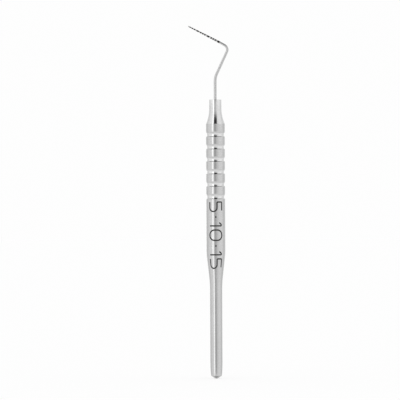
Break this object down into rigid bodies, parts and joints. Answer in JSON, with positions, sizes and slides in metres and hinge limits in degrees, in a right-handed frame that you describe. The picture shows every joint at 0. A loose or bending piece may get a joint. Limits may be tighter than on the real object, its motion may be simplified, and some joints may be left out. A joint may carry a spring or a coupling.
{
  "type": "periodontal probe",
  "caption": "Slim round steel handle with grip rings and a tapered tail, holding a thin wire bent sideways into a fine blunt tip with black millimetre marks.",
  "frame": {"origin": "middle of the small flat at the tail's end, on the handle's axis", "axes": "+Z along the handle from the tail to the tip; the wire bends in the XZ plane, with its elbow towards +X and its tip towards -X"},
  "size_m": [0.0171, 0.008, 0.1497],
  "materials": {
    "satin_steel": "satin, finely matted on the rings",
    "polished_steel": "polished",
    "mark_resin": "flush black fill"
  },
  "bodies": {
    "root": {"handle_tube": "satin_steel", "nose_collar": "polished_steel", "end_plug": "polished_steel", "working_end": "polished_steel", "mark_01mm": "mark_resin", "mark_02mm": "mark_resin", "mark_03mm": "mark_resin", "mark_04_05mm": "mark_resin", "mark_06mm": "mark_resin", "mark_07mm": "mark_resin", "mark_08mm": "mark_resin", "mark_09_10mm": "mark_resin", "mark_11mm": "mark_resin", "mark_12mm": "mark_resin", "mark_13mm": "mark_resin", "mark_14_15mm": "mark_resin"}
  },
  "joints": []
}
